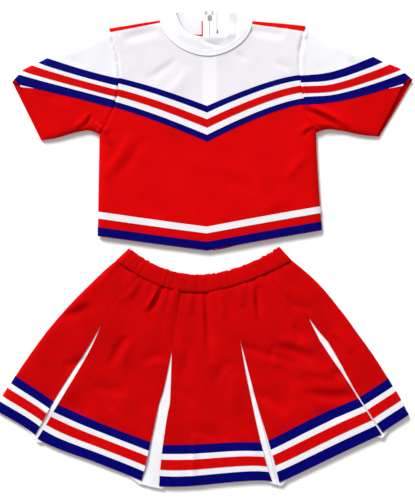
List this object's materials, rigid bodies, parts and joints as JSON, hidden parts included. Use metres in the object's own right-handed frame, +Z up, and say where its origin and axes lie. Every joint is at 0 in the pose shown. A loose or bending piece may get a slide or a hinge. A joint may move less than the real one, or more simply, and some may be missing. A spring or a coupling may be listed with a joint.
{
  "type": "cheer uniform",
  "caption": "Two-piece cheer uniform laid flat: short-sleeved cropped top with mock collar, chevron braid and back zip, and a flared pull-on skirt with white pleat insets.",
  "frame": {"origin": "on the table, under the middle of the box round both garments", "axes": "+Y from the skirt towards the collar, +X towards the right of the lay seen from above, +Z up from the table"},
  "size_m": [0.734, 0.852, 0.0141],
  "materials": {
    "red_knit": "matte double-knit polyester",
    "white_knit": "matte double-knit polyester, slightly see-through",
    "white_collar_knit": "matte double-knit polyester, two layers",
    "navy_ribbon": "flat woven ribbon with a slight sheen",
    "white_ribbon": "flat woven ribbon with a slight sheen",
    "red_ribbon": "flat woven ribbon with a slight sheen",
    "zip_tape": "woven tape",
    "zip_coil": "nylon monofilament",
    "plated_metal": "nickel-plated",
    "elastic": "knitted elastic"
  },
  "bodies": {
    "top": {"front_yoke": "white_knit", "front_body_panel": "red_knit", "back_panel_left": "red_knit", "back_panel_right": "red_knit", "collar_front": "white_collar_knit", "collar_back_left": "white_collar_knit", "collar_back_right": "white_collar_knit", "neck_seam_band": "white_collar_knit", "chest_braid_navy": "navy_ribbon", "chest_braid_white": "white_ribbon", "chest_braid_red": "red_ribbon", "hem_trim_front_white": "white_ribbon", "hem_trim_front_navy": "navy_ribbon", "hem_trim_back_white": "white_ribbon", "hem_trim_back_navy": "navy_ribbon", "zip_tape_left": "zip_tape", "zip_tape_right": "zip_tape", "zip_coil": "zip_coil", "zip_top_stops": "plated_metal", "zip_bottom_stop": "plated_metal", "collar_hook": "plated_metal", "collar_eye": "plated_metal"},
    "sleeve_left": {"sleeve_left_cap": "white_knit", "sleeve_left_front": "red_knit", "sleeve_left_back": "red_knit", "sleeve_left_braid_navy": "navy_ribbon", "sleeve_left_braid_white": "white_ribbon", "sleeve_left_braid_red": "red_ribbon"},
    "sleeve_right": {"sleeve_right_cap": "white_knit", "sleeve_right_front": "red_knit", "sleeve_right_back": "red_knit", "sleeve_right_braid_navy": "navy_ribbon", "sleeve_right_braid_white": "white_ribbon", "sleeve_right_braid_red": "red_ribbon"},
    "zip_slider": {"zip_slider": "plated_metal"},
    "zip_pull_tab": {"zip_pull_tab": "plated_metal"},
    "skirt": {"waistband_casing": "red_knit", "waist_elastic": "elastic", "skirt_panel_front_center": "red_knit", "skirt_panel_front_left": "red_knit", "skirt_panel_front_right": "red_knit", "skirt_panel_side_left": "red_knit", "skirt_panel_side_right": "red_knit", "skirt_panel_back_center": "red_knit", "skirt_panel_back_left": "red_knit", "skirt_panel_back_right": "red_knit", "pleat_inset_front_1": "white_knit", "pleat_inset_front_2": "white_knit", "pleat_inset_front_3": "white_knit", "pleat_inset_front_4": "white_knit", "pleat_inset_back_1": "white_knit", "pleat_inset_back_2": "white_knit", "pleat_inset_back_3": "white_knit", "pleat_inset_back_4": "white_knit", "skirt_braid_navy": "navy_ribbon", "skirt_braid_white": "white_ribbon", "skirt_braid_red": "red_ribbon"}
  },
  "joints": [
    {"name": "skirt_lift", "type": "slide", "parent": "top", "child": "skirt", "axis": [0, 0, 1], "range_m": [0, 0.2]},
    {"name": "sleeve_left_fold", "type": "hinge", "parent": "top", "child": "sleeve_left", "pos_m": [-0.1775, 0.2965, 0.017], "axis": [0.1325, 0.9912, 0], "range_deg": [0, 165]},
    {"name": "sleeve_right_fold", "type": "hinge", "parent": "top", "child": "sleeve_right", "pos_m": [0.1975, 0.2965, 0.017], "axis": [0.1325, -0.9912, 0], "range_deg": [0, 165]},
    {"name": "zip_slide", "type": "slide", "parent": "top", "child": "zip_slider", "axis": [0, -1, 0], "range_m": [0, 0.405]},
    {"name": "pull_tab_swing", "type": "hinge", "parent": "zip_slider", "child": "zip_pull_tab", "pos_m": [0.01, 0.412, 0.0009], "axis": [1, 0, 0], "range_deg": [0, 150]}
  ]
}
